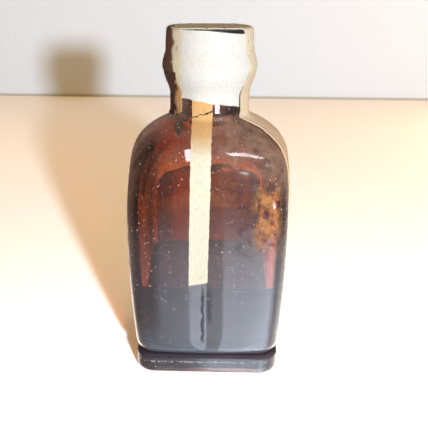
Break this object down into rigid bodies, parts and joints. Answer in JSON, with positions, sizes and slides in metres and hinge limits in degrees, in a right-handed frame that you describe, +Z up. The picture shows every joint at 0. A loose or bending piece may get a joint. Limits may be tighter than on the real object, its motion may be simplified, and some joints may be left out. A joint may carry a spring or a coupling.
{
  "type": "reagent bottle",
  "caption": "Small square amber glass reagent bottle with a stepped foot, dark liquid, and a black screw cap sealed with paper strips; the cap unscrews.",
  "frame": {"origin": "middle of the foot's underside", "axes": "+Z up along the neck's axis; -Y is the face with the long sealing strip; +X is the face that the paper band runs down"},
  "size_m": [0.0503, 0.0506, 0.1063],
  "materials": {
    "amber_glass": "glossy blown amber glass",
    "reagent": "dark liquid",
    "phenolic": "moulded black phenolic, satin",
    "pulp_board": "pulp board",
    "facing": "coated paper facing",
    "white_paper": "matt aged white paper",
    "brown_paper": "crumpled brown paper",
    "peach_paper": "crumpled pale brown paper",
    "cream_paper": "cream sealing paper",
    "label_paper": "aged cream paper, bare"
  },
  "bodies": {
    "bottle": {"glass_bottle": "amber_glass", "liquid": "reagent", "neck_label": "white_paper", "neck_band_left": "brown_paper", "seal_band_right": "peach_paper", "neck_strip": "cream_paper", "front_strip": "cream_paper", "back_label": "label_paper"},
    "liner": {"liner_backing": "pulp_board", "liner_facing": "facing"},
    "cap": {"screw_cap": "phenolic", "cap_label": "white_paper", "cap_band": "brown_paper"}
  },
  "joints": [
    {"name": "cap_lift", "type": "slide", "parent": "bottle", "child": "liner", "axis": [0, 0, 1], "range_m": [0, 0.0281]},
    {"name": "cap_turn", "type": "hinge", "parent": "liner", "child": "cap", "pos_m": [0, 0, 0.1017], "axis": [0, 0, 1], "range_deg": [0, 3600]}
  ],
  "couplings": [
    {"joint": "cap_lift", "follows": "cap_turn", "m_per_rad": 0.00044563}
  ]
}
